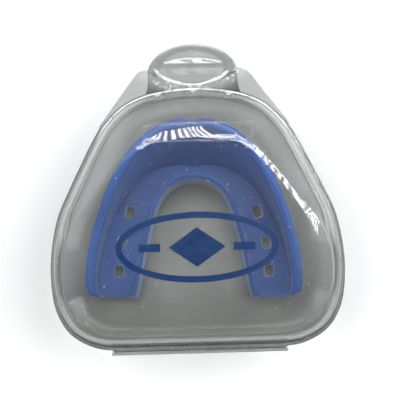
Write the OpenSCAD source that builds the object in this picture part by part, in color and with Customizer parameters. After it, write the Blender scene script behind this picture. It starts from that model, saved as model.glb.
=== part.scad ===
// Clear hinged case with a mouthguard inside it.
// Origin: centre of the overall footprint, on the surface that the case stands on.
// +Z is up, +Y points to the thumb tab and -Y to the living hinge.

/* [Case] */
// Overall length, from the hinge film to the end of the thumb tab
case_l = 92; // [90:0.5:94]
// Width of both shells at the parting plane
shell_w = 83; // [81:0.1:85]
// Length of both shells at the parting plane
shell_l = 74.7; // [73:0.1:75.5]
// Height of the lower shell, from its foot to the parting plane
base_h = 14.4; // [14:0.1:18]
// Height of the lid, from the parting plane to its top
lid_h = 13.4; // [13:0.1:14]
// Wall thickness of the shells
wall = 1; // [0.9:0.05:1.2]
// Thickness of both flanges
flange_t = 1.15; // [1:0.05:1.3]
// How far both flanges stand out from the shells
flange_out = 1.3; // [1:0.1:1.6]
// Gap between the two flanges when the lid is shut
part_gap = 0.2; // [0.1:0.05:0.3]

/* [Rim and snap] */
// Height of the locating lip above the lower flange
lip_h = 1.8; // [1.2:0.1:2.2]
// Thickness of the locating lip
lip_t = 0.8; // [0.7:0.1:1]
// Play between the lip and the lid's wall
lip_gap = 0.35; // [0.3:0.05:0.5]
// Width of each snap lug
lug_w = 2.6; // [2:0.1:3.5]
// Height of each snap lug
lug_h = 0.7; // [0.5:0.1:0.8]
// How far each snap lug stands out from the lip
lug_out = 0.6; // [0.4:0.05:0.7]
// Play round each snap lug in its pocket
lug_gap = 0.3; // [0.2:0.05:0.4]
// Angle between neighbouring snap lugs, seen from the centre of the front curve
lug_step = 12; // [10:0.5:14]

/* [Living hinge] */
// Width of the hinge strip
hinge_w = 50.8; // [40:0.2:54]
// Half height of the folded film, to the middle of its thickness
film_r = 0.6; // [0.5:0.05:0.8]
// Depth of the folded film, to the middle of its thickness: the lid turns about its outermost line
film_depth = 0.75; // [0.6:0.05:0.9]
// Thickness of the film
film_t = 0.35; // [0.25:0.05:0.5]

/* [Thumb tab and ears] */
// Half width of the thumb tab
tab_a = 13.4; // [13:0.1:14]
// How far the thumb tab's oval end stands out past its widest line
tab_b = 8.8; // [8:0.1:9.5]
// Thickness of the thumb tab
tab_t = 1.7; // [1.4:0.1:2.2]
// Depth of the thumb hollow
thumb_depth = 0.5; // [0.3:0.1:0.7]
// Radius of the notch between the ears
notch_r = 21.5; // [21:0.5:24]
// Radius of each ear's tip
ear_r = 4; // [3:0.1:4.5]

/* [Printed badge] */
// Width of the badge
badge_w = 46; // [30:1:50]
// Height of the badge
badge_h = 20; // [14:1:22]
// Thickness of the ink
ink_t = 0.12; // [0.1:0.01:0.2]

/* [Mouthguard] */
// Thickness of the bite plate
bite_t = 2.2; // [2:0.1:3.4]
// Width of a drain hole
drain_w = 2.4; // [2:0.1:2.8]
// Length of a drain hole
drain_l = 3.4; // [3:0.1:4]
// Play between the mouthguard and the case floor
guard_gap = 0.2; // [0.1:0.05:0.3]
// How far the loose mouthguard lies to the left of the middle
guard_shift = 0.7; // [0:0.1:1]
// How far the loose mouthguard is turned clockwise, in degrees
guard_turn = 1.2; // [0:0.1:2]

/* [Hidden] */

segment_steps = 3;  // points between two control points of an outline
clear_plastic = [0.78, 0.81, 0.80, 0.45];
ink_blue = [0.03, 0.19, 0.42];
guard_blue = [0.10, 0.22, 0.62];

rear_y = -case_l / 2 + 2.7;          // back of the shells
front_y = rear_y + shell_l;          // front of the shells
base_top = base_h - part_gap / 2;    // top of the lower flange
lid_foot = base_h + part_gap / 2;    // underside of the lid's flange
dome_foot = lid_foot + flange_t;     // foot of the lid's dome
lid_top = base_h + lid_h;
bowl_top = base_top - flange_t;      // top of the lower shell's wall
lip_out = wall + lip_gap;            // outer face of the lip, in from the shell's outside
lip_in = lip_out + lip_t;
leaf_y = -case_l / 2 + film_t / 2 + film_depth;  // outer edge of both hinge leaves

// Right half of the shells' outline, from the middle of the front round to the middle of the back:
// x as a share of the half width, y as a share of the length from the front,
// how far the lid's shoulder and the case's floor lie inside the outline there.
half_outline = [
    [0,    0,     16.5, 4.4],
    [0.29, 0.018, 16.4, 4.6],
    [0.48, 0.06,  15.8, 5.2],
    [0.615, 0.13, 14.4, 5.8],
    [0.7,  0.205, 12.4, 6.2],
    [0.79, 0.305, 10,   6.4],
    [0.875, 0.405, 8.2, 6.6],
    [0.948, 0.5,  6.2,  6.8],
    [0.988, 0.61, 4.3,  6.8],
    [1,    0.71,  3.5,  6.8],
    [0.984, 0.81, 3.7,  6.8],
    [0.945, 0.88, 4.4,  6.6],
    [0.87, 0.94,  5.5,  6.2],
    [0.75, 0.981, 6.7,  5.8],
    [0.61, 0.998, 7.6,  5.5],
    [0.3,  1,     8,    5.5],
    [0,    1,     8,    5.5],
];

// The lid's dome and the lower bowl in section: share of the way in, share of the way up or down.
dome_section = [[0, 0], [0.02, 0.18], [0.06, 0.36], [0.17, 0.55], [0.36, 0.71], [0.6, 0.84], [0.84, 0.95],
                [0.94, 0.985], [1, 1]];
bowl_section = [[0, 0], [0.06, 0.35], [0.16, 0.62], [0.35, 0.83], [0.6, 0.95], [1, 1]];

// One half of the mouthguard, from the front to the end of a leg: outer edge x and y,
// inner edge x and y, height of the outer and inner wall, where the outer wall's slope
// meets the bite plate, how far the outer wall leans out.
half_guard = [
    [0,    21.3,  0,    5.4,   17.4, 8.5, 11.2, 5],
    [2.8,  21.8,  1.7,  5.3,   18.7, 8.5, 11.2, 5],
    [7.5,  20.9,  4.4,  4.6,   19.2, 8.5, 10.4, 5],
    [13.5, 17.9,  7.2,  2.9,   18.4, 8.5, 8.9,  4.4],
    [19.2, 12.6,  9.7,  -0.2,  17,   8.3, 7.2,  3.4],
    [23.7, 5.8,   11.3, -4.2,  15,   8.1, 5.8,  2.6],
    [26.9, -1.2,  12.4, -8.6,  13.4, 7.8, 5,    2.1],
    [29.4, -8.5,  13.5, -13.1, 12.2, 7.5, 4.5,  1.8],
    [31,   -15.5, 14.6, -18,   11.3, 7.2, 4.3,  1.5],
    [31.9, -22,   15.6, -23,   10.4, 6.8, 4.2,  1.3],
    [31.9, -26,   16.3, -26.4, 9.6,  6.2, 4.2,  1.2],
    [31.1, -28.2, 16.8, -28.2, 9,    5.6, 4,    1.2],
    [29.5, -29,   17.2, -29,   8.2,  5,   3.6,  1.2],
];
drain_holes = [[19.3, -3.4, 14], [21.8, -12.7, 5], [22.5, -21.2, 0]];  // x, y, turn

// A point on the smooth curve through b and c, with a and d on either side of them
function spline(a, b, c, d, t) =
    0.5 * (2 * b + (c - a) * t + (2 * a - 5 * b + 4 * c - d) * t * t + (3 * b - a - 3 * c + d) * t * t * t);
function turn_over(row, flipped) = [for (k = [0:len(row) - 1]) flipped[k] * row[k]];

// The closed outline, as rows of x, y, shoulder inset and floor inset
shell_half = [for (r = half_outline) [r[0] * shell_w / 2, front_y - r[1] * shell_l, r[2], r[3]]];
other_half = [for (k = [len(shell_half) - 2:-1:1]) turn_over(shell_half[k], [-1, 1, 1, 1])];
shell_loop = concat(shell_half, other_half);
loop_n = len(shell_loop) * segment_steps;
function looped(k) = shell_loop[(k + len(shell_loop)) % len(shell_loop)];
outline = [for (k = [0:len(shell_loop) - 1], s = [0:segment_steps - 1])
    spline(looped(k - 1), looped(k), looped(k + 1), looped(k + 2), s / segment_steps)];
function at(k) = outline[(k + loop_n) % loop_n];
function along(k) = [at(k + 1)[0] - at(k - 1)[0], at(k + 1)[1] - at(k - 1)[1]];
inward = [for (k = [0:loop_n - 1]) let (d = along(k)) [d[1], -d[0]] / norm(d)];
function inset(k, d) = [at(k)[0], at(k)[1]] + inward[k] * d;

// The outline moved inwards by d, flat or at a height
function outline_in(d) = [for (k = [0:loop_n - 1]) inset(k, d)];
function ring(start, share, column, z) =
    [for (k = [0:loop_n - 1]) let (p = inset(k, start * (1 - share) + share * at(k)[column])) [p[0], p[1], z]];

function oval(centre, rx, ry, from, to, steps) =
    [for (k = [0:steps]) let (a = from + (to - from) * k / steps) centre + [rx * cos(a), ry * sin(a)]];
function arc(centre, r, from, to, steps) = oval(centre, r, r, from, to, steps);
// Points round a corner at b, between a and c, with radius r
function rounded(a, b, c, r, steps) =
    let (u = (a - b) / norm(a - b), v = (c - b) / norm(c - b), half = acos(u * v) / 2)
    let (centre = b + (u + v) / norm(u + v) * r / sin(half))
    let (p = b + u * r / tan(half) - centre, q = b + v * r / tan(half) - centre)
    let (from = atan2(p[1], p[0]), swing = atan2(q[1], q[0]) - from)
    let (turn = swing > 180 ? swing - 360 : swing < -180 ? swing + 360 : swing)
    arc(centre, r, from, from + turn, steps);
function mirrored(points) = [for (k = [len(points) - 1:-1:0]) [-points[k][0], points[k][1]]];

// A closed solid through a row of rings, with a flat face on the first and the last
module loft(rings) {
    n = len(rings[0]);
    last = (len(rings) - 1) * n;
    sides = [for (j = [0:len(rings) - 2], k = [0:n - 1])
        let (a = j * n + k, b = j * n + (k + 1) % n)
        each [[a, a + n, b + n], [a, b + n, b]]];
    polyhedron([for (r = rings) each r],
               concat([[for (k = [0:n - 1]) k]], sides, [[for (k = [n - 1:-1:0]) last + k]]));
}

// A flat plate between two outlines, or inside one
module plate(outer, low, high) {
    translate([0, 0, low]) linear_extrude(high - low) polygon(outer);
}
module hoop(outer_d, inner_d, low, high) {
    difference() {
        plate(outline_in(outer_d), low, high);
        plate(outline_in(inner_d), low - 1, high + 1);
    }
}

// Lower half of the case
module base_shell() {
    inner = [for (k = [len(bowl_section) - 1:-1:0]) let (s = bowl_section[k])
        ring(wall, s[0], 3, bowl_top - s[1] * (bowl_top - wall))];
    outer = [for (s = bowl_section) ring(0, s[0], 3, bowl_top - s[1] * bowl_top)];
    color(clear_plastic) loft(concat(inner, outer));
}

module base_rim() {
    color(clear_plastic) union() {
        hoop(-flange_out, lip_in, bowl_top, base_top);
        hoop(lip_out, lip_in, base_top, base_top + lip_h);
    }
}

// A block at each snap lug, grown by play all round, reaching far in and out
module lug_blocks(play) {
    front_r = 50;  // radius of the shells' front
    w = lug_w + 2 * play;
    h = lug_h + 2 * play;
    for (side = [-1:1])
        translate([0, front_y - front_r, lid_foot + flange_t / 2]) rotate(side * lug_step)
            translate([-w / 2, front_r - 6, -h / 2]) cube([w, 9, h]);
}
module snap_lugs() {
    color(clear_plastic) intersection() {
        hoop(lip_out - lug_out, lip_out, base_top, dome_foot);
        lug_blocks(0);
    }
}

module thumb_tab() {
    end_c = [0, case_l / 2 - tab_b];
    flare_r = 6;
    flare_c = [tab_a + flare_r, front_y + 2.4];
    right = concat(oval(end_c, tab_a, tab_b, 90, 0, 18), arc(flare_c, flare_r, 180, 250, 6));
    foot = [[17, front_y - 4], [-17, front_y - 4]];
    hollow_r = 14.3;
    hollow_c = [0, case_l / 2 - 12.1 + hollow_r];
    hollow_a = 43;  // half angle of the hollow's lower edge
    hollow = concat(arc(hollow_c, hollow_r, -90 - hollow_a, -90 + hollow_a, 16),
                    oval(end_c + [0, 0.8], tab_a - 3, tab_b - 2.4, 15, 165, 16));
    color(clear_plastic) difference() {
        plate(concat(right, foot, mirrored(right)), base_top - tab_t, base_top);
        plate(outline_in(-flange_out), base_top - tab_t - 1, base_top + 1);
        plate(hollow, base_top - thumb_depth, base_top + 1);
    }
}

// Both leaves and the film between them: one strip across the back of the flanges
module hinge_leaf(low) {
    color(clear_plastic) difference() {
        translate([-hinge_w / 2, leaf_y, low]) cube([hinge_w, 3, flange_t]);
        plate(outline_in(-flange_out), low - 1, low + flange_t + 1);
    }
}
module hinge_base_leaf() { hinge_leaf(bowl_top); }
module hinge_lid_leaf() { hinge_leaf(lid_foot); }

module hinge_film() {
    middle = [leaf_y, base_h];
    half_t = film_t / 2;
    section = concat(oval(middle, film_depth + half_t, film_r + half_t, 90, 270, 12),
                     oval(middle, film_depth - half_t, film_r - half_t, 270, 90, 12));
    color(clear_plastic)
        translate([-hinge_w / 2, 0, 0]) rotate([90, 0, 90]) linear_extrude(hinge_w) polygon(section);
}

// Upper half of the case
module lid_shell() {
    rise = lid_top - dome_foot;
    outer = [for (k = [len(dome_section) - 1:-1:0]) let (s = dome_section[k])
        ring(0, s[0], 2, dome_foot + s[1] * rise)];
    inner = [for (s = dome_section) ring(wall, s[0], 2, dome_foot + s[1] * (rise - wall))];
    color(clear_plastic) loft(concat(outer, inner));
}

module lid_rim() {
    notch_c = [0, front_y + 1.6 + notch_r];
    notch_a = 23;  // half angle of the notch's round part
    notch_end = notch_c + notch_r * [sin(notch_a), -cos(notch_a)];
    ear_foot = [28.3, front_y - 10.7];
    ear_tip = [14.6, case_l / 2 - 6.2];
    half_notch = arc(notch_c, notch_r, -90 + notch_a, -90, 6);
    right = concat([[0, front_y - 6], [20, front_y - 20], ear_foot],
                   rounded(ear_foot, ear_tip, notch_end, ear_r, 8), half_notch);
    left = mirrored([for (k = [1:len(right) - 2]) right[k]]);
    color(clear_plastic) difference() {
        union() {
            plate(outline_in(-flange_out), lid_foot, dome_foot);
            plate(concat(right, left), lid_foot, dome_foot);
        }
        plate(outline_in(wall), lid_foot - 1, dome_foot + 1);
        intersection() {
            plate(outline_in(lip_out - lug_out - lug_gap), lid_foot - 1, dome_foot + 1);
            lug_blocks(lug_gap);
        }
    }
}

// A plain badge: an oval ring round a lozenge between two bars
module printed_badge() {
    line = 1.8;
    ring_out = oval([0, 0], badge_w / 2, badge_h / 2, 0, 354, 59);
    ring_in = oval([0, 0], badge_w / 2 - line, badge_h / 2 - line, 0, 354, 59);
    lozenge = [[8, 0], [0, 5.6], [-8, 0], [0, -5.6]];
    color(ink_blue) translate([0, -16.5, lid_top]) {
        difference() {
            plate(ring_out, 0, ink_t);
            plate(ring_in, -1, ink_t + 1);
        }
        plate(lozenge, 0, ink_t);
        for (side = [-1, 1]) translate([side * 13.4 - 3, -1.1, 0]) cube([6, 2.2, ink_t]);
    }
}

// One section of the mouthguard: a row of half_guard gives the width and the heights
function guard_section(g) =
    let (o = [g[0], g[1]], across = [g[2], g[3]] - o, w = norm(across), e = across / w)
    let (ho = g[4], hi = g[5], slope = g[6], lean = g[7])
    [for (p = [
        [lean + 1, 0], [lean + 0.2, 0.9], [lean * 0.6, ho * 0.45], [0, ho - 1], [0.6, ho - 0.2], [1.4, ho],
        [2.2, ho - 0.3], [2.8, ho - 1.2], [slope - 1, bite_t + 0.8], [slope, bite_t],
        [w - 3, bite_t], [w - 2.3, bite_t + 0.8], [w - 1.9, hi - 0.5], [w - 1.1, hi], [w - 0.4, hi - 0.5],
        [w, hi - 1.4], [w, 0.9], [w - 0.9, 0]])
        [o[0] + e[0] * p[0], o[1] + e[1] * p[0], wall + guard_gap + p[1]]];

module mouthguard() {
    flip = [-1, 1, -1, 1, 1, 1, 1, 1];
    rows = concat([for (k = [len(half_guard) - 1:-1:1]) turn_over(half_guard[k], flip)], half_guard);
    last = len(rows) - 1;
    stations = concat(
        [for (k = [0:last - 1], s = [0:segment_steps - 1])
            spline(rows[max(k - 1, 0)], rows[k], rows[k + 1], rows[min(k + 2, last)], s / segment_steps)],
        [rows[last]]);
    color(guard_blue) translate([-guard_shift, 0, 0]) rotate(-guard_turn) difference() {
        loft([for (g = stations) guard_section(g)]);
        for (h = drain_holes, side = [-1, 1])
            translate([side * h[0], h[1], wall + guard_gap - 1]) rotate(side * h[2])
                translate([-drain_w / 2, -drain_l / 2, 0]) cube([drain_w, drain_l, bite_t + 2]);
    }
}

base_shell();
base_rim();
snap_lugs();
thumb_tab();
hinge_base_leaf();
hinge_film();
hinge_lid_leaf();
lid_shell();
lid_rim();
printed_badge();
mouthguard();
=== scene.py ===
"""A clear hinged case, lying shut on its lower half, with a blue mouthguard inside it.

Every piece is built here at the size and place of the CAD nodes in the frame, in metres.
"""
import math

import bmesh
import bpy
import numpy as np
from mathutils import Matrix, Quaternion, Vector, geometry


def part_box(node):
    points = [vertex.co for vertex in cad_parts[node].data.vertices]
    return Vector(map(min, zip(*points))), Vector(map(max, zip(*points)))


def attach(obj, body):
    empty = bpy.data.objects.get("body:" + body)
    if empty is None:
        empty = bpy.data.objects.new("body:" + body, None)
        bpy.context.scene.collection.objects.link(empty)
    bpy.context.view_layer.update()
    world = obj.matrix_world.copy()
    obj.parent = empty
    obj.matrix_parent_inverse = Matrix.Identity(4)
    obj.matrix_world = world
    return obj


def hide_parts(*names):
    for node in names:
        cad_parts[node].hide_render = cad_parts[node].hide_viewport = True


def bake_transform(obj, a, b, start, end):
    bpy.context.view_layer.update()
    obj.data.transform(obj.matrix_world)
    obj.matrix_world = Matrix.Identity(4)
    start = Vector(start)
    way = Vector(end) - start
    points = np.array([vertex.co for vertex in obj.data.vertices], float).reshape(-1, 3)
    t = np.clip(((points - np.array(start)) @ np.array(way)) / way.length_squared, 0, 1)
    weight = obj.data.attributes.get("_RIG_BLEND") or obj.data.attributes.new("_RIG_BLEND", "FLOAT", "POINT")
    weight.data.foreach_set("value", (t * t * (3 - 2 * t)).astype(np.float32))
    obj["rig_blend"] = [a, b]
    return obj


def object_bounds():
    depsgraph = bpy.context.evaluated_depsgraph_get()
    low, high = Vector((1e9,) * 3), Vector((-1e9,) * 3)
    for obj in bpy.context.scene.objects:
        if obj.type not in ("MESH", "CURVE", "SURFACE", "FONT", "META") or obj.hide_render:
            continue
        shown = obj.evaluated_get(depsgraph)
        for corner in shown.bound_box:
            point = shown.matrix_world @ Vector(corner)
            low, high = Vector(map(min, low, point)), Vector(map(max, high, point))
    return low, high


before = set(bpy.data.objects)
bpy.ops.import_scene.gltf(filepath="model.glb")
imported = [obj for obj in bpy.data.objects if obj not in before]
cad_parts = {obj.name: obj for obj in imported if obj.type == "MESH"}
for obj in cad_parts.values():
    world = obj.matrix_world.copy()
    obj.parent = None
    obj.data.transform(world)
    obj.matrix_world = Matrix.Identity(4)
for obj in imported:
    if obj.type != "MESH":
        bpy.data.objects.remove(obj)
CAD_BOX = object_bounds()
MM = 0.001

# ---------------------------------------------------------------- sizes, read from the frame

lid_low, lid_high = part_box("lid_shell")
bowl_low, bowl_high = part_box("base_shell")
rim_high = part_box("base_rim")[1]
cover_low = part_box("lid_rim")[0]
tab_low, tab_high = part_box("thumb_tab")
lug_low, lug_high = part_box("snap_lugs")
film_low, film_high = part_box("hinge_film")
leaf_low, leaf_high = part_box("hinge_base_leaf")
ink_low, ink_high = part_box("printed_badge")
guard_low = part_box("mouthguard")[0]

WALL = 1.0 * MM
LIP_OUT = 1.35 * MM
LIP_IN = 2.15 * MM
HALF_W = bowl_high.x
FRONT_Y, REAR_Y = bowl_high.y, bowl_low.y
SHELL_L = FRONT_Y - REAR_Y
FLANGE_OUT = rim_high.x - bowl_high.x
BOWL_TOP = bowl_high.z
BASE_TOP = tab_high.z
LIP_TOP = rim_high.z
LID_FOOT = cover_low.z
DOME_FOOT = lid_low.z
LID_TOP = lid_high.z
LEAF_Y = leaf_low.y
HINGE_HALF = leaf_high.x

# Right half of the shells' outline, from the middle of the front to the middle of the back:
# share of the half width, share of the length, shoulder inset and floor inset in millimetres.
HALF_OUTLINE = [
    (0, 0, 16.5, 4.4), (0.29, 0.018, 16.4, 4.6), (0.48, 0.06, 15.8, 5.2), (0.615, 0.13, 14.4, 5.8),
    (0.7, 0.205, 12.4, 6.2), (0.79, 0.305, 10, 6.4), (0.875, 0.405, 8.2, 6.6), (0.948, 0.5, 6.2, 6.8),
    (0.988, 0.61, 4.3, 6.8), (1, 0.71, 3.5, 6.8), (0.984, 0.81, 3.7, 6.8), (0.945, 0.88, 4.4, 6.6),
    (0.87, 0.94, 5.5, 6.2), (0.75, 0.981, 6.7, 5.8), (0.61, 0.998, 7.6, 5.5), (0.3, 1, 8, 5.5),
    (0, 1, 8, 5.5),
]
DOME_SECTION = [(0, 0), (0.02, 0.18), (0.06, 0.36), (0.17, 0.55), (0.36, 0.71), (0.6, 0.84), (0.84, 0.95),
                (0.94, 0.985), (1, 1)]
BOWL_SECTION = [(0, 0), (0.06, 0.35), (0.16, 0.62), (0.35, 0.83), (0.6, 0.95), (1, 1)]
CROWN = 0.3 * MM  # how far the lid's top falls from its middle to its corners
CROWN_HALF_W, CROWN_HALF_L = 32 * MM, 30 * MM  # where it has fallen by that much
DOME_FOOT_R = 0.5 * MM  # fillet between the lid's wall and its flange
BOWL_EDGE_R = 0.4 * MM  # fillet between the lower half's wall and its flange
POCKET_WALL = 0.45 * MM  # what is left of the lid's wall behind a snap lug


# ---------------------------------------------------------------- curves

def spline(points, steps, closed):
    """Points on the smooth curve through the given ones."""
    p = np.array(points, float)
    n = len(p)
    out = []
    for k in range(n if closed else n - 1):
        if closed:
            a, b, c, d = p[(k - 1) % n], p[k], p[(k + 1) % n], p[(k + 2) % n]
        else:
            a, b, c, d = p[max(k - 1, 0)], p[k], p[k + 1], p[min(k + 2, n - 1)]
        for s in range(steps):
            t = s / steps
            out.append(0.5 * (2 * b + (c - a) * t + (2 * a - 5 * b + 4 * c - d) * t * t
                              + (3 * b - a - 3 * c + d) * t ** 3))
    if not closed:
        out.append(p[-1])
    return np.array(out)


def arc(cx, cy, rx, ry, start, end, steps):
    a = np.radians(np.linspace(start, end, steps + 1))
    return np.stack([cx + rx * np.cos(a), cy + ry * np.sin(a)], 1)


def rounded_corner(a, b, c, r, steps):
    """Points round the corner at b, between a and c."""
    a, b, c = (np.array(q, float) for q in (a, b, c))
    u, v = (a - b) / np.linalg.norm(a - b), (c - b) / np.linalg.norm(c - b)
    half = math.acos(float(u @ v)) / 2
    centre = b + (u + v) / np.linalg.norm(u + v) * r / math.sin(half)
    p, q = b + u * r / math.tan(half) - centre, b + v * r / math.tan(half) - centre
    start = math.degrees(math.atan2(p[1], p[0]))
    swing = (math.degrees(math.atan2(q[1], q[0])) - start + 180) % 360 - 180
    return arc(centre[0], centre[1], r, r, start, start + swing, steps)


def mirrored(points):
    return np.array(points)[::-1] * [-1, 1]


half = np.array([(x * HALF_W, FRONT_Y - y * SHELL_L, s * MM, f * MM) for x, y, s, f in HALF_OUTLINE])
loop = spline(np.concatenate([half, half[-2:0:-1] * [-1, 1, 1, 1]]), 14, True)
EDGE, SHOULDER, FLOOR = loop[:, :2], loop[:, 2], loop[:, 3]
run = np.roll(EDGE, -1, 0) - np.roll(EDGE, 1, 0)
INWARD = np.stack([run[:, 1], -run[:, 0]], 1) / np.linalg.norm(run, axis=1)[:, None]
N = len(EDGE)
MIDDLE = np.array([0, -10 * MM])  # the top and the floor close towards this point


def top_of_lid(xy):
    return LID_TOP - CROWN * ((xy[:, 0] / CROWN_HALF_W) ** 2 + ((xy[:, 1] - MIDDLE[1]) / CROWN_HALF_L) ** 2)


def ring(inset, z):
    """The outline moved inwards, at a height; either may be one number or one a point."""
    xy = EDGE + INWARD * np.broadcast_to(inset, N)[:, None]
    return np.column_stack([xy, np.broadcast_to(z, N)])


def shrunk(r, share):
    """A ring drawn in towards the middle."""
    out = r.copy()
    out[:, :2] = MIDDLE + (r[:, :2] - MIDDLE) * share
    return out


def reach(polygon, least):
    """How far out from each outline point a plate with this closed outline goes."""
    p, q = np.array(polygon), np.roll(np.array(polygon), -1, 0)
    far = np.full(N, least)
    for k in range(N):
        d, s = -INWARD[k], q - p
        det = d[0] * -s[:, 1] + d[1] * s[:, 0]
        det[np.abs(det) < 1e-12] = 1e-12
        w = p - EDGE[k]
        t = (w[:, 0] * -s[:, 1] + w[:, 1] * s[:, 0]) / det
        u = (d[0] * w[:, 1] - d[1] * w[:, 0]) / det
        hit = t[(u >= 0) & (u <= 1) & (t > 0)]
        if len(hit):
            far[k] = max(far[k], hit.max())
    return far


# ---------------------------------------------------------------- meshes

def new_object(name, mesh):
    obj = bpy.data.objects.new(name, mesh)
    bpy.context.scene.collection.objects.link(obj)
    return obj


def finished(name, bm, sharp=38):
    """A smooth-shaded object from a bmesh, with its creases above the angle kept sharp."""
    bmesh.ops.remove_doubles(bm, verts=bm.verts, dist=1e-7)
    bmesh.ops.recalc_face_normals(bm, faces=bm.faces)
    mesh = bpy.data.meshes.new(name)
    bm.to_mesh(mesh)
    bm.free()
    for p in mesh.polygons:
        p.use_smooth = True
    mesh.set_sharp_from_angle(angle=math.radians(sharp))
    return new_object(name, mesh)


def loft(rings, edges=(), feet=()):
    """A closed bmesh through rings of the same number of points.

    edges numbers the rings on a cut edge, feet those along the foot of a wall.
    """
    bm = bmesh.new()
    edge = bm.verts.layers.float.new("edge")
    foot = bm.verts.layers.float.new("foot")
    rows = [[bm.verts.new(p) for p in r] for r in rings]
    for layer, numbers in ((edge, edges), (foot, feet)):
        for j in numbers:
            for v in rows[j]:
                v[layer] = 1
    n = len(rows[0])
    for a, b in zip(rows, rows[1:]):
        for k in range(n):
            bm.faces.new((a[k], a[(k + 1) % n], b[(k + 1) % n], b[k]))
    bm.faces.new(rows[0])
    bm.faces.new(rows[-1][::-1])
    return bm


def slab(name, outline, low, high, holes=()):
    """A flat plate between two heights, inside one outline and outside the holes."""
    bm = bmesh.new()
    points, edges = [], []
    for line in (outline, *holes):
        first = len(points)
        points += [Vector(p) for p in line]
        edges += [(first + k, first + (k + 1) % len(line)) for k in range(len(line))]
    v, _, f = geometry.delaunay_2d_cdt(points, edges, [], 2 if holes else 1, 1e-9)[:3]
    top = [bm.verts.new((p.x, p.y, high(p))) for p in v]
    bottom = [bm.verts.new((p.x, p.y, low(p))) for p in v]
    for t in f:
        middle = sum((v[i] for i in t), Vector((0, 0))) / len(t)
        if not any(inside(middle, hole) for hole in holes):
            bm.faces.new([top[i] for i in t])
            bm.faces.new([bottom[i] for i in reversed(t)])
    wall_up(bm, top, bottom)
    for q in [q for q in bm.verts if not q.link_faces]:
        bm.verts.remove(q)
    return finished(name, bm, 30)


def wall_up(bm, top, bottom):
    """Joins the open edges of a plate's top to the same edges of its bottom."""
    index = {q: k for k, q in enumerate(top)}
    for e in [e for e in bm.edges if e.is_boundary and e.verts[0] in index and e.verts[1] in index]:
        a, b = (index[q] for q in e.verts)
        bm.faces.new((top[a], top[b], bottom[b], bottom[a]))


def inside(p, polygon):
    hit = False
    for a, b in zip(polygon, np.roll(polygon, -1, 0)):
        if (a[1] > p[1]) != (b[1] > p[1]) and p[0] < (b[0] - a[0]) * (p[1] - a[1]) / (b[1] - a[1]) + a[0]:
            hit = not hit
    return hit


def closing(r, z_of, shares=(0.86, 0.66, 0.46, 0.27, 0.12, 0.03)):
    """Rings that carry a surface from r to the middle."""
    out = []
    for s in shares:
        q = shrunk(r, s)
        q[:, 2] = z_of(q[:, :2])
        out.append(q)
    return out


# The flat plates' edges: the ears stand out of the lid's flange, the hinge leaf out of both.
NOTCH_R = 21.5 * MM
notch_c = np.array([0, FRONT_Y + 1.6 * MM + NOTCH_R])
notch = arc(notch_c[0], notch_c[1], NOTCH_R, NOTCH_R, -67, -90, 24)
ear_foot = np.array([28.3 * MM, FRONT_Y - 10.7 * MM])
ear_tip = np.array([14.6 * MM, CAD_BOX[1].y - 6.2 * MM])
half_ear = np.concatenate([[ear_foot], rounded_corner(ear_foot, ear_tip, notch[0], 4 * MM, 24), notch])
ear_plate = np.concatenate([half_ear, mirrored(half_ear[:-1])])
leaf_plate = np.array([(-HINGE_HALF, LEAF_Y), (-HINGE_HALF, 0), (HINGE_HALF, 0), (HINGE_HALF, LEAF_Y)])
LID_REACH = np.maximum(reach(ear_plate, FLANGE_OUT), reach(leaf_plate, FLANGE_OUT))
BASE_REACH = reach(leaf_plate, FLANGE_OUT)

LUG_STEP = 12
LUG_R = 50 * MM
LUG_HALF = 1.3 * MM
LUG_GAP = 0.3 * MM
LUG_DEPTH = 0.6 * MM
LUG_SUNK = 0.27 * MM  # from the lug's middle to the face of the lip


def near_lug(k):
    """True where an outline point lies over a snap lug's pocket."""
    for side in (-1, 0, 1):
        a = math.radians(side * LUG_STEP)
        p = EDGE[k] - (0, FRONT_Y - LUG_R)
        if abs(p[0] * math.cos(a) - p[1] * math.sin(a)) < LUG_HALF + LUG_GAP and p[1] > 0:
            return True
    return False


FLANGE_STEPS = 5
EDGE_STEPS = 7


def rounding(r, angles):
    """How far a quarter round has still to go, across and along its axis, at each angle."""
    return [(r * (1 - math.sin(math.radians(a))), r * (1 - math.cos(math.radians(a)))) for a in angles]


def flange(z_in, z_out, far, start, bevel=0.3 * MM):
    """Rings from the wall out to the flange's edge, round it, and on to its other side."""
    up = 1 if z_out > z_in else -1
    rings = [ring(start - (start + far - bevel) * s, z_in) for s in np.linspace(0, 1, FLANGE_STEPS)]
    rings += [ring(-far + across, z_in + up * along) for across, along in rounding(bevel, (30, 60, 90))]
    rings += [ring(-far + across, z_out - up * along) for along, across in rounding(bevel, (0, 30, 60, 90))]
    rings.append(ring(-far + bevel + 0.25 * MM, z_out))
    return rings


def dome(start, foot, high_of, steps=3):
    """Rings up the lid's side to its shoulder."""
    rings = []
    for share_in, share_up in spline(DOME_SECTION, steps, False):
        r = ring(start * (1 - share_in) + share_in * SHOULDER, 0)
        r[:, 2] = foot + share_up * (high_of(r[:, :2]) - foot)
        rings.append(r)
    return rings


def lid_moulding():
    def under(xy):
        return top_of_lid(xy) - WALL

    pocket = np.array([POCKET_WALL if near_lug(k) else WALL for k in range(N)])
    inner = dome(WALL, DOME_FOOT, under)
    outer = dome(0, DOME_FOOT + DOME_FOOT_R, top_of_lid)
    rings = closing(inner[-1], under)[::-1] + inner[::-1]
    rings += [ring(pocket, DOME_FOOT - 0.05 * MM), ring(pocket, LID_FOOT + 0.15 * MM)]
    first = len(rings) + FLANGE_STEPS
    rings += flange(LID_FOOT, DOME_FOOT, LID_REACH, pocket + 0.1 * MM)
    rings.append(ring(-DOME_FOOT_R - 0.2 * MM, DOME_FOOT))
    foot = len(rings)
    rings += [ring(-across, DOME_FOOT + up) for across, up in rounding(DOME_FOOT_R, (0, 30, 60))]
    rings += outer + closing(outer[-1], top_of_lid)
    return finished("lid_moulding", loft(rings, range(first, first + EDGE_STEPS), range(foot, foot + 3)))


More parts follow.
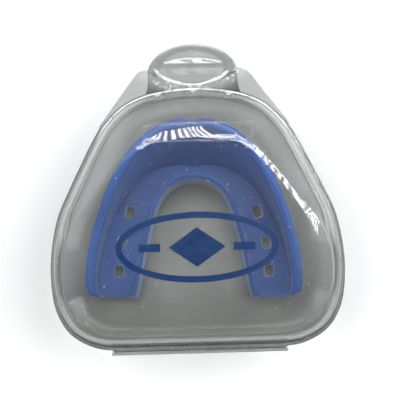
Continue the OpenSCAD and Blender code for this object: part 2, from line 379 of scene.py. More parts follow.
def bowl(start, foot, top, steps=4):
    """Rings down the lower half's side to its floor."""
    return [ring(start * (1 - share_in) + share_in * FLOOR, top - share_down * (top - foot))
            for share_in, share_down in spline(BOWL_SECTION, steps, False)]


def base_moulding():
    inner = bowl(WALL, WALL, BOWL_TOP - 0.9 * MM)
    outer = bowl(0, 0, BOWL_TOP - BOWL_EDGE_R)
    lip_r = (LIP_IN - LIP_OUT) / 2
    rings = closing(inner[-1], lambda xy: WALL)[::-1] + inner[::-1]
    rings += [ring(LIP_IN, BOWL_TOP + 0.1 * MM), ring(LIP_IN, LIP_TOP - lip_r)]
    rings += [ring(LIP_IN - along, LIP_TOP - down)
              for down, along in rounding(lip_r, (30, 60, 90, 120, 150, 180))]
    first = len(rings) + FLANGE_STEPS
    rings += flange(BASE_TOP, BOWL_TOP, BASE_REACH, LIP_OUT)
    rings += [ring(-across, BOWL_TOP - down) for across, down in rounding(BOWL_EDGE_R, (0, 30, 60))]
    rings += outer + closing(outer[-1], lambda xy: 0)
    return finished("base_moulding", loft(rings, range(first, first + EDGE_STEPS)))


def lug_place(side):
    """The number of the outline point beside a snap lug: side is -1, 0 or 1."""
    a = math.radians(side * LUG_STEP)
    off = np.abs(np.arctan2(EDGE[:, 0], EDGE[:, 1] - (FRONT_Y - LUG_R)) - a)
    return int(np.argmin(off + (EDGE[:, 1] < 0) * 9))


def snap_lug(side):
    """One small rounded block on the outside of the locating lip."""
    size = (LUG_HALF * 2, LUG_DEPTH, lug_high.z - lug_low.z)
    bm = bmesh.new()
    bmesh.ops.create_cube(bm, size=1)
    bmesh.ops.scale(bm, vec=size, verts=bm.verts)
    bmesh.ops.bevel(bm, geom=bm.edges, offset=0.14 * MM, segments=3, affect="EDGES", profile=0.6)
    # the whole lug is marked, so it takes the painted edge shade
    mark = bm.verts.layers.float.new("edge")
    for v in bm.verts:
        v[mark] = 1
    k = lug_place(side)
    spot = EDGE[k] + INWARD[k] * (LIP_OUT - LUG_SUNK)
    turn = math.atan2(-INWARD[k][0], -INWARD[k][1])
    for v in bm.verts:
        x, y = v.co.x, v.co.y
        v.co = (spot[0] + x * math.cos(turn) + y * math.sin(turn),
                spot[1] - x * math.sin(turn) + y * math.cos(turn),
                v.co.z + (lug_low.z + lug_high.z) / 2)
    return finished(f"snap_lug_{side + 2}", bm, 60)


# ---------------------------------------------------------------- thumb tab

TAB_A, TAB_B = 13.4 * MM, 8.8 * MM
FLARE_R = 6 * MM  # the curve that spreads the tab's foot
HOLLOW_R = 14.3 * MM  # the lower arc of the thumb hollow
RIM_SOFT = 0.5 * MM
HOLLOW_SLOPE = 0.32 * MM  # the hollow sinks by this much gently, and by the step at its lower arc
HOLLOW_STEP = 0.5 * MM
HOLLOW_EASE = 5.5 * MM
RAMP = 2.5 * MM  # the slope just beyond the lower arc
RAMP_END, RAMP_FADE = 12.6 * MM, 3 * MM
tab_c = np.array([0, tab_high.y - TAB_B])
hollow_c = np.array([0, tab_high.y - 12.1 * MM + HOLLOW_R])


def gap(p, line):
    """Distance from p to a closed line."""
    a, b = np.array(line), np.roll(np.array(line), -1, 0)
    s = b - a
    t = np.clip(((p - a) * s).sum(1) / np.maximum((s * s).sum(1), 1e-18), 0, 1)
    return float(np.linalg.norm(a + s * t[:, None] - p, axis=1).min())


def thumb_tab():
    side = np.concatenate([arc(0, tab_c[1], TAB_A, TAB_B, 90, 0, 48),
                           arc(TAB_A + FLARE_R, FRONT_Y + 2.4 * MM, FLARE_R, FLARE_R, 180, 246, 20)])
    # the back edge follows the lower flange's edge
    front = (EDGE - INWARD * (FLANGE_OUT + 0.02 * MM))[EDGE[:, 1] > 0]
    front = front[np.argsort(front[:, 0])]
    side = side[side[:, 1] > np.interp(side[:, 0], front[:, 0], front[:, 1])]
    front = front[np.abs(front[:, 0]) < side[-1][0] - 0.1 * MM][::-1]
    outline = np.concatenate([side, front, mirrored(side)[:-1]])
    low_arc = arc(hollow_c[0], hollow_c[1], HOLLOW_R, HOLLOW_R, -133, -47, 60)
    high_arc = arc(0, tab_c[1] + 0.8 * MM, TAB_A - 3 * MM, TAB_B - 2.4 * MM, 16, 164, 60)
    lens = np.concatenate([low_arc, high_arc])

    def height(p):
        """Top surface: rounded rim, a scooped hollow with a step at its lower arc, and a ramp beyond it."""
        d = gap(p, outline)
        z = BASE_TOP
        if d < RIM_SOFT and p[1] > FRONT_Y + 3 * MM:
            z -= RIM_SOFT - math.sqrt(max(RIM_SOFT ** 2 - (RIM_SOFT - d) ** 2, 0))
        beyond = np.linalg.norm(p - hollow_c) - HOLLOW_R
        if inside(p, lens):
            step = min(-beyond / (0.25 * MM), 1)
            ease = min(gap(p, high_arc) / HOLLOW_EASE, 1)
            z -= (HOLLOW_SLOPE + HOLLOW_STEP * step) * math.sin(ease * math.pi / 2)
        elif beyond > 0:
            share = min(beyond / RAMP, 1)
            ends = min(max((RAMP_END - abs(p[0])) / RAMP_FADE, 0), 1)
            z -= HOLLOW_SLOPE * (1 - share) ** 1.5 * ends
        return z

    def dark(p):
        """1 on the rim and along the hollow's arcs, where painted shade darkens the plastic seen edge-on."""
        if gap(p, outline) < 0.2 * MM:
            return 1.0
        if gap(p, lens) < 0.14 * MM:
            return 1.0 if np.linalg.norm(p - hollow_c) > HOLLOW_R - 0.3 * MM else 0.7
        return 0.0

    def bright(p):
        """1 along the lit ramp just beyond the hollow's lower arc."""
        beyond = np.linalg.norm(p - hollow_c) - HOLLOW_R
        return 1.0 if 0.25 * MM < beyond < 0.75 * MM and abs(p[0]) < 10.5 * MM else 0.0

    points, edges = [], []

    def add(line):
        first = len(points)
        points.extend(Vector(p) for p in line)
        edges.extend((first + k, first + (k + 1) % len(line)) for k in range(len(line)))

    add(outline)
    add(lens)
    for d in (0.06, 0.15, 0.3, 0.5):
        points.extend(Vector(p) for p in arc(tab_c[0], tab_c[1], TAB_A - d * MM, TAB_B - d * MM, 176, 4, 90))
    for d in (-0.8, -0.7, -0.3, -0.2, 0.1, 0.25):
        r = HOLLOW_R - d * MM
        points.extend(Vector(p) for p in arc(hollow_c[0], hollow_c[1], r, r, -131, -49, 90))
    step = 0.55 * MM
    for x in np.arange(-TAB_A * 1.2, TAB_A * 1.2, step):
        for y in np.arange(FRONT_Y, tab_high.y, step):
            p = np.array([x, y])
            if inside(p, outline) and gap(p, outline) > 0.6 * MM and gap(p, lens) > 0.3 * MM:
                points.append(Vector(p))
    v, _, f = geometry.delaunay_2d_cdt(points, edges, [], 1, 1e-9)[:3]
    bm = bmesh.new()
    edge = bm.verts.layers.float.new("edge")
    foot = bm.verts.layers.float.new("foot")
    top = [bm.verts.new((p.x, p.y, height(np.array(p)))) for p in v]
    for q, p in zip(top, v):
        q[edge] = dark(np.array(p))
        q[foot] = bright(np.array(p))
    bottom = [bm.verts.new((p.x, p.y, tab_low.z)) for p in v]
    for t in f:
        bm.faces.new([top[i] for i in t])
        bm.faces.new([bottom[i] for i in reversed(t)])
    wall_up(bm, top, bottom)
    return finished("tab_moulding", bm, 42)


# ---------------------------------------------------------------- hinge film

def hinge_film():
    thick = 0.35 * MM
    mid_z = (film_low.z + film_high.z) / 2
    depth = LEAF_Y - film_low.y - thick / 2
    tall = (film_high.z - film_low.z - thick) / 2
    out = arc(LEAF_Y, mid_z, depth + thick / 2, tall + thick / 2, 90, 270, 24)
    back = arc(LEAF_Y, mid_z, depth - thick / 2, tall - thick / 2, 270, 90, 24)
    section = np.concatenate([out, back])
    xs = np.linspace(-HINGE_HALF, HINGE_HALF, 33)
    return finished("hinge_fold", loft([[(x, p[0], p[1]) for p in section] for x in xs]), 40)


# ---------------------------------------------------------------- printed badge

INK_LINE = 1.8 * MM
LOZENGE = (8 * MM, 5.6 * MM)  # half sizes
BAR = (3 * MM, 1.1 * MM)
BAR_X = 13.4 * MM


def badge():
    def low(p):
        return float(top_of_lid(np.array([p])[:, :2])[0]) + 0.005 * MM

    def high(p):
        return low(p) + 0.07 * MM

    def fine(corners, step=1 * MM):
        """The same closed line with points along its sides."""
        out = []
        for p, q in zip(corners, corners[1:] + corners[:1]):
            p, q = np.array(p), np.array(q)
            n = max(1, int(np.linalg.norm(q - p) / step))
            out += [p + (q - p) * k / n for k in range(n)]
        return np.array(out)

    cy = (ink_low.y + ink_high.y) / 2
    a, b = ink_high.x, (ink_high.y - ink_low.y) / 2
    outer = arc(0, cy, a, b, 0, 358.5, 239)
    inner = arc(0, cy, a - INK_LINE, b - INK_LINE, 0, 358.5, 239)
    w, l = LOZENGE
    parts = [slab("badge_ring", outer, low, high, holes=[inner]),
             slab("badge_lozenge", fine([(w, cy), (0, cy + l), (-w, cy), (0, cy - l)]), low, high)]
    for side, name in ((-1, "badge_bar_left"), (1, "badge_bar_right")):
        x, (w, h) = side * BAR_X, BAR
        parts.append(slab(name, fine([(x - w, cy - h), (x + w, cy - h), (x + w, cy + h), (x - w, cy + h)]),
                          low, high))
    return parts


# ---------------------------------------------------------------- mouthguard

# One half, from the front to the end of a leg, in millimetres: outer edge x and y, inner edge x and y,
# height of the outer and inner wall, where the outer wall meets the bite plate, how far it leans.
HALF_GUARD = [
    (0, 21.3, 0, 5.4, 17.4, 8.5, 11.2, 5), (2.8, 21.8, 1.7, 5.3, 18.7, 8.5, 11.2, 5),
    (7.5, 20.9, 4.4, 4.6, 19.2, 8.5, 10.4, 5), (13.5, 17.9, 7.2, 2.9, 18.4, 8.5, 8.9, 4.4),
    (19.2, 12.6, 9.7, -0.2, 17, 8.3, 7.2, 3.4), (23.7, 5.8, 11.3, -4.2, 15, 8.1, 5.8, 2.6),
    (26.9, -1.2, 12.4, -8.6, 13.4, 7.8, 5, 2.1), (29.4, -8.5, 13.5, -13.1, 12.2, 7.5, 4.5, 1.8),
    (31, -15.5, 14.6, -18, 11.3, 7.2, 4.3, 1.5), (31.9, -22, 15.6, -23, 10.4, 6.8, 4.2, 1.3),
    (31.9, -26, 16.3, -26.4, 9.6, 6.2, 4.2, 1.2), (31.1, -28.2, 16.8, -28.2, 9, 5.6, 4, 1.2),
    (29.5, -29, 17.2, -29, 8.2, 5, 3.6, 1.2),
]
DRAINS = ((19.3, -3.4, 14), (21.8, -12.7, 5), (22.5, -21.2, 0))  # x, y, turn in degrees
BITE = 2.2
INNER_EDGE = (59, 67)  # the points of a section that lie along the arch's inner edge
GUARD_SHIFT, GUARD_TURN = 0.7, 1.2  # it lies loose: to the left, in millimetres, and clockwise, in degrees


def guard_section(g):
    """A closed section of the mouthguard, as places across it and heights above its underside."""
    ox, oy, ix, iy, ho, hi, slope, lean = g
    w = math.hypot(ix - ox, iy - oy)
    shape = [
        (lean + 1, 0), (lean + 0.2, 0.9), (lean * 0.6, ho * 0.45), (0, ho - 1), (0.6, ho - 0.2), (1.4, ho),
        (2.2, ho - 0.3), (2.8, ho - 1.2), (slope - 1, BITE + 0.8), (slope, BITE),
        (w - 3, BITE), (w - 2.5, BITE + 0.8), (w - 2.1, hi - 0.5), (w - 1.4, hi), (w - 0.75, hi - 0.5),
        (w - 0.45, hi - 1.4), (w, 0.9), (w - 0.9, 0)]
    flat = spline(shape, 4, True)
    e = ((ix - ox) / w, (iy - oy) / w)
    return np.array([(*laid(ox + e[0] * a, oy + e[1] * a), guard_low.z + max(h, 0) * MM) for a, h in flat])


def laid(x, y):
    """Where the loose mouthguard's own x and y come to lie in the case, in metres."""
    a = math.radians(-GUARD_TURN)
    return ((x * math.cos(a) - y * math.sin(a) - GUARD_SHIFT) * MM, (x * math.sin(a) + y * math.cos(a)) * MM)


def mouthguard():
    rows = [(-a, b, -c, d, *rest) for a, b, c, d, *rest in HALF_GUARD[:0:-1]] + HALF_GUARD
    sections = [guard_section(g) for g in spline(rows, 9, False)]
    bm = loft(sections)
    # the inner edge is marked for the pale painted highlight of the blue EVA material
    inner_edge = bm.verts.layers.float["foot"]
    for k, v in enumerate(bm.verts):
        if INNER_EDGE[0] <= k % len(sections[0]) <= INNER_EDGE[1]:
            v[inner_edge] = 1
    obj = finished("eva_mouthguard", bm, 50)
    for x, y, turn in DRAINS:
        for side in (-1, 1):
            cut_drain(obj, side * x, y, side * turn)
    mesh = obj.data
    for p in mesh.polygons:
        p.use_smooth = True
    mesh.set_sharp_from_angle(angle=math.radians(42))
    return obj


def cut_drain(obj, x, y, turn):
    """Cuts a hole with rounded corners and an eased upper edge down through the bite plate."""
    a = math.radians(turn)

    def rim(grow, z):
        w, l, r = 1.2 + grow, 1.7 + grow, 0.7 + grow
        corners = [arc(side_x * (w - r), side_y * (l - r), r, r, start, start + 90, 5)
                   for side_x, side_y, start in ((1, 1, 0), (-1, 1, 90), (-1, -1, 180), (1, -1, 270))]
        return [(*laid(x + u * math.cos(a) - v * math.sin(a), y + u * math.sin(a) + v * math.cos(a)),
                 guard_low.z + z * MM) for u, v in np.concatenate(corners)]

    cutter = finished("cutter", loft([rim(0.3, -1), rim(0, 0.3), rim(0, BITE - 0.45), rim(0.45, BITE + 0.05),
                                      rim(0.45, BITE + 3)]))
    cut = obj.modifiers.new("hole", "BOOLEAN")
    cut.operation, cut.solver, cut.object = "DIFFERENCE", "EXACT", cutter
    done = bpy.data.meshes.new_from_object(obj.evaluated_get(bpy.context.evaluated_depsgraph_get()))
    obj.modifiers.clear()
    obj.data = done
    bpy.data.objects.remove(cutter)


# ---------------------------------------------------------------- materials

class Nodes:
    """A short way to write a material's nodes."""

    def __init__(self, name):
        self.material = bpy.data.materials.new(name)
        self.material.use_nodes = True
        self.start(self.material.node_tree)
        self.place = self.add("ShaderNodeTexCoord").outputs["Object"]

    @classmethod
    def of(cls, tree):
        """Nodes in a tree that isn't a material's."""
        self = cls.__new__(cls)
        self.start(tree)
        return self

    def start(self, tree):
        self.tree = tree
        self.tree.nodes.clear()

    def add(self, kind, inputs=None, **settings):
        node = self.tree.nodes.new(kind)
        for key, value in settings.items():
            setattr(node, key, value)
        for key, value in (inputs or {}).items():
            if isinstance(value, bpy.types.NodeSocket):
                self.tree.links.new(value, node.inputs[key])
            else:
                node.inputs[key].default_value = value
        return node

    def noise(self, scale, detail=3.0, rough=0.5, stretch=None):
        at = self.place
        if stretch:
            at = self.add("ShaderNodeMapping", {"Vector": at, "Scale": stretch}).outputs["Vector"]
        return self.add("ShaderNodeTexNoise", {"Vector": at, "Scale": scale, "Detail": detail,
                                               "Roughness": rough}).outputs["Fac"]

    def ramp(self, value, low, high, out_low=0.0, out_high=1.0):
        return self.add("ShaderNodeMapRange", {"Value": value, "From Min": low, "From Max": high,
                                               "To Min": out_low, "To Max": out_high}).outputs["Result"]

    def math(self, operation, a, b=0.0):
        return self.add("ShaderNodeMath", {0: a, 1: b}, operation=operation).outputs["Value"]

    def vector(self, operation, a, b=(0, 0, 0)):
        return self.add("ShaderNodeVectorMath", {0: a, 1: b}, operation=operation).outputs["Vector"]

    def distance(self, a, b):
        return self.add("ShaderNodeVectorMath", {0: a, 1: b}, operation="DISTANCE").outputs["Value"]

    def mark(self, name):
        """A vertex mark of the mesh, 0 to 1."""
        return self.add("ShaderNodeAttribute", attribute_name=name).outputs["Fac"]

    def part(self, vector, axis):
        return self.add("ShaderNodeSeparateXYZ", {0: vector}).outputs[axis]

    def bump(self, height, strength, distance):
        return self.add("ShaderNodeBump", {"Height": height, "Strength": strength,
                                           "Distance": distance}).outputs["Normal"]

    def output(self, shader):
        self.add("ShaderNodeOutputMaterial", {"Surface": shader})
        return self.material


def rgba(r, g, b):
    return (r, g, b, 1.0)


def mixed(nodes, factor, a, b):
    """A colour between a and b."""
    node = nodes.tree.nodes.new("ShaderNodeMix")
    node.data_type = "RGBA"
    nodes.tree.links.new(factor, node.inputs["Factor"])
    sockets = [s for s in node.inputs if s.type == "RGBA"]
    for socket, value in zip(sockets, (a, b)):
        if isinstance(value, bpy.types.NodeSocket):
            nodes.tree.links.new(value, socket)
        else:
            socket.default_value = value
    return next(s for s in node.outputs if s.type == "RGBA")


CLEAR_LIGHT = (0.77, 0.78, 0.77)
CLEAR_DARK = (0.68, 0.69, 0.68)
# painted shade for cut edges and for walls seen side-on
CLEAR_EDGE_SHADE = rgba(0.42, 0.43, 0.43)
CLEAR_REAR_SHADE = rgba(0.45, 0.46, 0.45)  # painted shade towards the hinge
CLEAR_EARS = rgba(0.50, 0.51, 0.50)
# white for real scuffs and dust, and also for painted highlights: the broken line along the lid's foot, the
# tab's lit ramp and the sparkle in the speckles
WHITE_SCUFF_AND_HIGHLIGHT = rgba(0.97, 0.97, 0.97)
SHADOW_TINT = 0.82
SMOKE = rgba(0.70, 0.71, 0.70)


def clear_plastic(name, smoke=400.0, tint=1.0, scuffs=1.0, haze=0.02, rough=(0.01, 0.04), front=0.0,
                  relief=None, white=None):
    """Smoky clear polypropylene: glossy, with flow marks, fine scratches, dust and a little haze, painted
    shade towards the hinge and at edges, and white marks that include painted highlights.
    """
    n = Nodes(name)
    cloud = n.ramp(n.noise(38, 4), 0.3, 0.7)
    colour = mixed(n, cloud, rgba(*(c * tint for c in CLEAR_LIGHT)), rgba(*(c * tint for c in CLEAR_DARK)))
    along = n.part(n.place, "Y")
    side_on = n.ramp(n.add("ShaderNodeLayerWeight", {"Blend": 0.5}).outputs["Facing"], 0.82, 0.99)
    side_on = n.math("MULTIPLY", side_on, n.ramp(along, -36 * MM, -26 * MM, 0.5, 0.04))
    # Painted shade: the colour darkens towards the hinge.
    colour = mixed(n, n.ramp(along, -40 * MM, -24 * MM, 0.45, 0), colour, CLEAR_REAR_SHADE)
    ears = n.math("MULTIPLY", n.ramp(along, 22 * MM, 30 * MM, 0, front),
                  n.ramp(n.math("ABSOLUTE", n.part(n.place, "X")), 9 * MM, 13 * MM))
    colour = mixed(n, ears, colour, CLEAR_EARS)
    # Painted shade: cut edges, and walls seen side-on (more so towards the hinge), are darkened.
    cut = n.mark("edge")
    colour = mixed(n, n.math("MAXIMUM", side_on, cut), colour, CLEAR_EDGE_SHADE)
    smear = n.ramp(n.noise(130, 5, 0.6, (1, 0.35, 1)), 0.42, 0.72)
    rough = n.ramp(n.math("MULTIPLY", smear, scuffs), 0, 1, *rough)
    level = n.part(n.add("ShaderNodeTexCoord").outputs["Normal"], "Z")
    rough = n.math("MAXIMUM", rough, n.ramp(n.math("ABSOLUTE", level), 0.15, 0.75, 0.2, 0))
    ripple = n.noise(230, 2)
    grain = n.noise(2600, 2)
    scratch = n.ramp(n.noise(420, 6, 0.7, (1, 0.05, 1)), 0.60, 0.66)
    height = n.math("ADD", n.math("MULTIPLY", ripple, 0.16), n.math("MULTIPLY", grain, 0.03))
    height = n.math("ADD", height, n.math("MULTIPLY", scratch, 0.05 * scuffs))
    if relief:
        height = n.math("ADD", height, relief(n))
    normal = n.bump(height, 0.35, 0.12 * MM)
    veil = n.ramp(n.noise(3.5, 1), 0, 1, haze, haze * 1.01)
    # white marks: partly real scuffs and dust, partly painted highlights
    if white:
        spots = white(n)
        colour = mixed(n, spots, colour, WHITE_SCUFF_AND_HIGHLIGHT)
        veil = n.math("MAXIMUM", veil, n.math("MULTIPLY", spots, 0.8))
    body = n.add("ShaderNodeBsdfPrincipled", {"Base Color": colour, "Roughness": rough, "Normal": normal,
                                              "Transmission Weight": n.math("SUBTRACT", 1.0, veil),
                                              "IOR": 1.45})
    passing = n.add("ShaderNodeBsdfTransparent", {"Color": rgba(*[SHADOW_TINT * tint] * 3)})
    shadow = n.add("ShaderNodeLightPath").outputs["Is Shadow Ray"]
    both = n.add("ShaderNodeMixShader", {0: shadow, 1: body.outputs[0], 2: passing.outputs[0]})
    fog = n.add("ShaderNodeVolumeAbsorption", {"Color": SMOKE, "Density": smoke})
    n.add("ShaderNodeOutputMaterial", {"Surface": both.outputs[0], "Volume": fog.outputs[0]})
    return n.material


def close_to(n, centres, full, none):
    """1 within a distance of any of the centres, seen from above, and 0 beyond a second distance."""
    flat = n.vector("MULTIPLY", n.place, (1, 1, 0))
    nearest = 1.0
    for x, y in centres:
        nearest = n.math("MINIMUM", n.distance(flat, (x, y, 0)), nearest)
    return n.ramp(nearest, full, none, 1, 0)


def lug_marks(n):
    """White scuffs on the lid where the three snap lugs press into it."""
    spots = [EDGE[k] + INWARD[k] * 0.9 * MM for k in map(lug_place, (-1, 0, 1))]
    rubbed_away = n.ramp(n.noise(900, 3), 0.38, 0.56, 0.1, 0.9)
    return n.math("MULTIPLY", close_to(n, spots, 0.9 * MM, 1.2 * MM), rubbed_away)


def speckles(n, veil=0.0):
    """White spots, over a thin veil, where the tab and the ears cling together just outside the notch: in
    part trapped dirt, in part painted sparkle highlights.
    """
    centre = n.distance(n.place, (notch_c[0], notch_c[1], BASE_TOP))
    under = n.ramp(centre, NOTCH_R, NOTCH_R + 0.4 * MM)
    near = n.ramp(centre, NOTCH_R + 1.6 * MM, NOTCH_R + 4 * MM, 1, 0)
    spot = n.ramp(n.noise(1300, 3, 0.6), 0.58, 0.62)
    patch = n.ramp(n.noise(260, 2), 0.44, 0.52)
    spots = n.math("MAXIMUM", n.math("MULTIPLY", spot, patch), veil)
    return n.math("MULTIPLY", spots, n.math("MULTIPLY", under, near))


def tab_marks(n):
    """The tab's white spots, and the light that its hollow's lower arc catches."""
    ramp = n.mark("foot")
    lit = n.math("MULTIPLY", ramp, n.ramp(n.noise(300, 4, 0.6), 0.35, 0.6, 0.1, 0.8))
    return n.math("MAXIMUM", speckles(n), lit)


def engraving(n):
    """1 along a rounded rectangle pressed into the lid's front slope."""
    middle, half_x, half_y, r = (1.2 * MM, 16.7 * MM), 15.5 * MM, 2.6 * MM, 1.2 * MM
    away = n.vector("SUBTRACT", n.place, (*middle, 0))
    away = n.vector("ABSOLUTE", away)
    away = n.vector("SUBTRACT", away, (half_x - r, half_y - r, 1))
    away = n.vector("MAXIMUM", away, (0, 0, 0))
    off = n.math("SUBTRACT", n.add("ShaderNodeVectorMath", {0: away}, operation="LENGTH").outputs["Value"], r)
    return n.ramp(n.math("ABSOLUTE", off), 0.08 * MM, 0.22 * MM, 1, 0)


def engraved_depth(n):
    return n.math("MULTIPLY", engraving(n), -2.2)


def lid_marks(n):
    """The lid's white marks: a painted highlight as a broken line along the foot of its front, dust, scuffs,
    pressed lines, and speckles that are partly painted highlight.
    """
    # Painted highlight: a broken white line along the foot of the lid's front.
    foot = n.mark("foot")
    front = n.ramp(n.part(n.place, "Y"), 14 * MM, 22 * MM)
    broken = n.ramp(n.noise(520, 4, 0.6), 0.36, 0.48)
    marks = n.math("MULTIPLY", n.math("MULTIPLY", foot, front), broken)
    dust = n.math("MULTIPLY", n.ramp(n.noise(1500, 2), 0.735, 0.75), 0.8)
    pressed = n.math("MULTIPLY", engraving(n), 0.22)
    for more in (pressed, dust, lug_marks(n), speckles(n, 0.22)):
        marks = n.math("MAXIMUM", marks, more)
    return marks


def soft_rubber():
    """Blue EVA: satin, with a fine grain and mould cloudiness, and a pale painted highlight along the arch's
    inner edge and on the drains' walls.
    """
    n = Nodes("blue_eva")
    cloud = n.ramp(n.noise(60, 4), 0.3, 0.7)
    colour = mixed(n, cloud, rgba(0.026, 0.110, 0.41), rgba(0.020, 0.09, 0.34))
    # Painted highlight: a pale line along the arch's inner edge and pale lit walls round the drains, mixed
    # into the colour.
    painted_highlight = n.mark("foot")
    places = [laid(side * x, y) for x, y, _ in DRAINS for side in (-1, 1)]
    level = n.part(n.add("ShaderNodeNewGeometry").outputs["True Normal"], "Z")
    drain = n.math("MULTIPLY", close_to(n, places, 2.4 * MM, 2.6 * MM), n.ramp(level, 0.90, 0.95, 1, 0))
    painted_highlight = n.math("MAXIMUM", n.math("MULTIPLY", painted_highlight, 0.6), drain)
    colour = mixed(n, painted_highlight, colour, rgba(0.34, 0.40, 0.52))
    rough = n.ramp(n.noise(300, 4), 0.3, 0.7, 0.34, 0.5)
    grain = n.math("ADD", n.math("MULTIPLY", n.noise(3200, 2), 0.4), n.math("MULTIPLY", n.noise(420, 3), 0.6))
    normal = n.bump(grain, 0.35, 0.12 * MM)
    body = n.add("ShaderNodeBsdfPrincipled", {"Base Color": colour, "Roughness": rough, "Normal": normal,
                                              "Subsurface Weight": 0.25, "Subsurface Scale": 0.002,
                                              "Specular IOR Level": 0.35, "IOR": 1.46,
                                              "Sheen Weight": 0.25, "Sheen Roughness": 0.4})
    body.inputs["Subsurface Radius"].default_value = (0.3, 0.5, 1.0)
    return n.output(body.outputs[0])


def ink():
    """Dark blue pad-printing ink with slight pinholes and wear."""
    n = Nodes("blue_ink")
    cloud = n.ramp(n.noise(90, 4), 0.35, 0.7)
    colour = mixed(n, cloud, rgba(0.001, 0.024, 0.095), rgba(0.002, 0.030, 0.115))
    rough = n.ramp(n.noise(500, 4), 0.3, 0.7, 0.28, 0.5)
    normal = n.bump(n.noise(3000, 3), 0.25, 0.05 * MM)
    body = n.add("ShaderNodeBsdfPrincipled", {"Base Color": colour, "Roughness": rough, "Normal": normal,
                                              "Specular IOR Level": 0.2})
    return n.output(body.outputs[0])


def paper():
    """Plain white floor paper."""
    n = Nodes("floor_paper")
    tint = mixed(n, n.noise(6, 2), rgba(0.92, 0.92, 0.92), rgba(0.9108, 0.9108, 0.9108))
    body = n.add("ShaderNodeBsdfPrincipled", {"Base Color": tint, "Roughness": 0.7})
    return n.output(body.outputs[0])


def dress(obj, material, slot_name, body, *nodes):
    """Gives a piece its material, its body and the CAD nodes it stands for; slot_name is not used."""
    obj.data.materials.clear()
    obj.data.materials.append(material)
    if body:
        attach(obj, body)
    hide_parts(*nodes)
    return obj


clear = clear_plastic("clear_polypropylene")
rubbed = clear_plastic("clear_polypropylene_rubbed", tint=1.15, scuffs=2.5, haze=0.85)
clear_lid = clear_plastic("clear_polypropylene_lid", front=0.5, relief=engraved_depth, white=lid_marks)
clear_tab = clear_plastic("clear_polypropylene_tab", smoke=1300.0, tint=0.88, scuffs=0.5, white=tab_marks)
# The lower half gets a darker copy of the clear plastic, which paints shade into the inside of the case.
clear_base = clear_plastic("clear_polypropylene_base", smoke=450.0, tint=0.93, haze=0.08, rough=(0.12, 0.25))
dress(base_moulding(), clear_base, "clear_case", "base", "base_shell", "base_rim", "hinge_base_leaf")
dress(lid_moulding(), clear_lid, "clear_case", "lid", "lid_shell", "lid_rim", "hinge_lid_leaf")
for side in (-1, 0, 1):
    dress(snap_lug(side), rubbed, "clear_case", "base", "snap_lugs")
dress(thumb_tab(), clear_tab, "clear_case", "base", "thumb_tab")
film = dress(hinge_film(), clear, "clear_case", None, "hinge_film")
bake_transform(film, "base", "lid", (0, LEAF_Y, film_low.z), (0, LEAF_Y, film_high.z))
printed = ink()
for part in badge():
    dress(part, printed, "ink", "lid", "printed_badge")
dress(mouthguard(), soft_rubber(), "soft_blue", "guard", "mouthguard")

# ---------------------------------------------------------------- stage, light and camera

floor_mesh = bpy.data.meshes.new("floor")
floor_mesh.from_pydata([(-2, -2, 0), (2, -2, 0), (2, 2, 0), (-2, 2, 0)], [], [(0, 1, 2, 3)])
floor = new_object("floor", floor_mesh)
floor.location.z = -0.2 * MM
floor.data.materials.append(paper())

world = bpy.data.worlds.new("studio")
bpy.context.scene.world = world
world.use_nodes = True
sky = Nodes.of(world.node_tree)
toward = sky.add("ShaderNodeTexCoord").outputs["Generated"]


def glow(direction, start, full, low, high):
    """Brightness that changes smoothly from low to high round one direction of the sky."""
    facing = sky.add("ShaderNodeVectorMath", {0: toward, 1: direction}, operation="DOT_PRODUCT")
    inputs = {"Value": facing.outputs["Value"], "From Min": start, "From Max": full,
              "To Min": low, "To Max": high}
    return sky.add("ShaderNodeMapRange", inputs, interpolation_type="SMOOTHSTEP").outputs["Result"]


# a tent that is brighter in front, with a dark patch overhead, so that the flat top of the lid mirrors
# little light, and a bright spot low down on either side
tent = glow((0, 1, 0), -0.7, 0.7, 0.2, 1.0)
tent = sky.math("MULTIPLY", tent, glow((0, 0.139, 0.99), 0.84, 0.96, 1.0, 0.12))
tent = sky.math("ADD", tent, glow((0.97, 0.15, 0.17), 0.84, 0.99, 0, 3.8))
tent = sky.math("ADD", tent, glow((-0.74, 0.62, 0.22), 0.89, 0.99, 0, 1.1))
sky.add("ShaderNodeOutputWorld", {"Surface": sky.add("ShaderNodeBackground", {
    "Color": rgba(0.97, 0.985, 1.0), "Strength": tent}).outputs[0]})


def lamp(name, place, size=1.2, power=9.6):
    """A large square lamp that shines at the case and isn't mirrored in it."""
    data = bpy.data.lights.new(name, "AREA")
    data.energy = power
    data.shape, data.size = "SQUARE", size
    obj = bpy.data.objects.new(name, data)
    bpy.context.scene.collection.objects.link(obj)
    obj.location = place
    obj.rotation_euler = (-Vector(place)).to_track_quat("-Z", "Y").to_euler()
    obj.visible_glossy = False


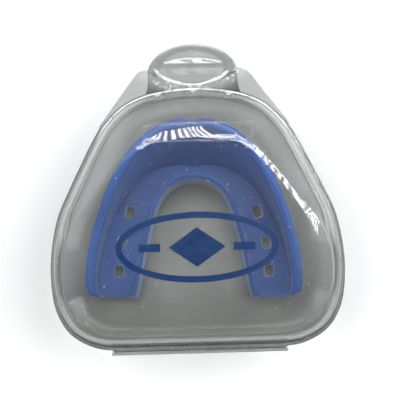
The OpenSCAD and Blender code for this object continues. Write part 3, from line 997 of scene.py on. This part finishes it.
def lamp_row(name, start, end, strength=34.0, step=0.022, thick=0.009, wide=0.36, slant=0.03):
    """A straight row of narrow slanted lamps, seen in the lid as a rope-like streak."""
    start, end = Vector(start), Vector(end)
    along = (end - start).normalized()
    bm = bmesh.new()
    for k in range(int((end - start).length / step)):
        c = start + along * step * (k + 0.5)
        across = along.cross(-c).normalized() * wide / 2 + along * slant / 2
        side = along * thick / 2
        corners = (across + side, across - side, -across - side, side - across)
        bm.faces.new([bm.verts.new(c + d) for d in corners])
    mesh = bpy.data.meshes.new(name)
    bm.to_mesh(mesh)
    bm.free()
    n = Nodes(name)
    light = n.add("ShaderNodeEmission", {"Color": rgba(1, 1, 1), "Strength": strength})
    mesh.materials.append(n.output(light.outputs[0]))
    row = new_object(name, mesh)
    row.visible_diffuse = False  # it only shows as a reflection


lamp("soft_left", (-0.85, -0.05, 0.85))
lamp("soft_right", (0.85, 0.1, 0.85))
lamp_row("front_row_left", (-0.30, 0.50, 0.8), (0.08, 0.59, 0.8))
lamp_row("front_row_right", (0.08, 0.59, 0.8), (0.50, 0.26, 0.8))

CAMERA_ELEVATION, CAMERA_ROLL = math.radians(82), math.radians(-1.6)
CAMERA_DISTANCE = 0.36
FIELD = 0.1173  # width of what the camera sees at the case
camera_data = bpy.data.cameras.new("camera")
camera = bpy.data.objects.new("camera", camera_data)
bpy.context.scene.collection.objects.link(camera)
bpy.context.scene.camera = camera
back = Vector((0, -math.cos(CAMERA_ELEVATION), math.sin(CAMERA_ELEVATION)))
camera.location = Vector((1.2 * MM, -1.4 * MM, 15 * MM)) + back * CAMERA_DISTANCE
camera.rotation_mode = "QUATERNION"
camera.rotation_quaternion = (-back).to_track_quat("-Z", "Y")
camera.rotation_quaternion.rotate(Quaternion(back, CAMERA_ROLL))
camera_data.lens = camera_data.sensor_width * CAMERA_DISTANCE / FIELD
camera_data.clip_start, camera_data.clip_end = 0.01, 20

scene = bpy.context.scene
scene.view_settings.view_transform = "Standard"
scene.cycles.caustics_refractive = True
scene.cycles.caustics_reflective = False
scene.cycles.max_bounces = 24
scene.cycles.transmission_bounces = 20
scene.cycles.transparent_max_bounces = 24
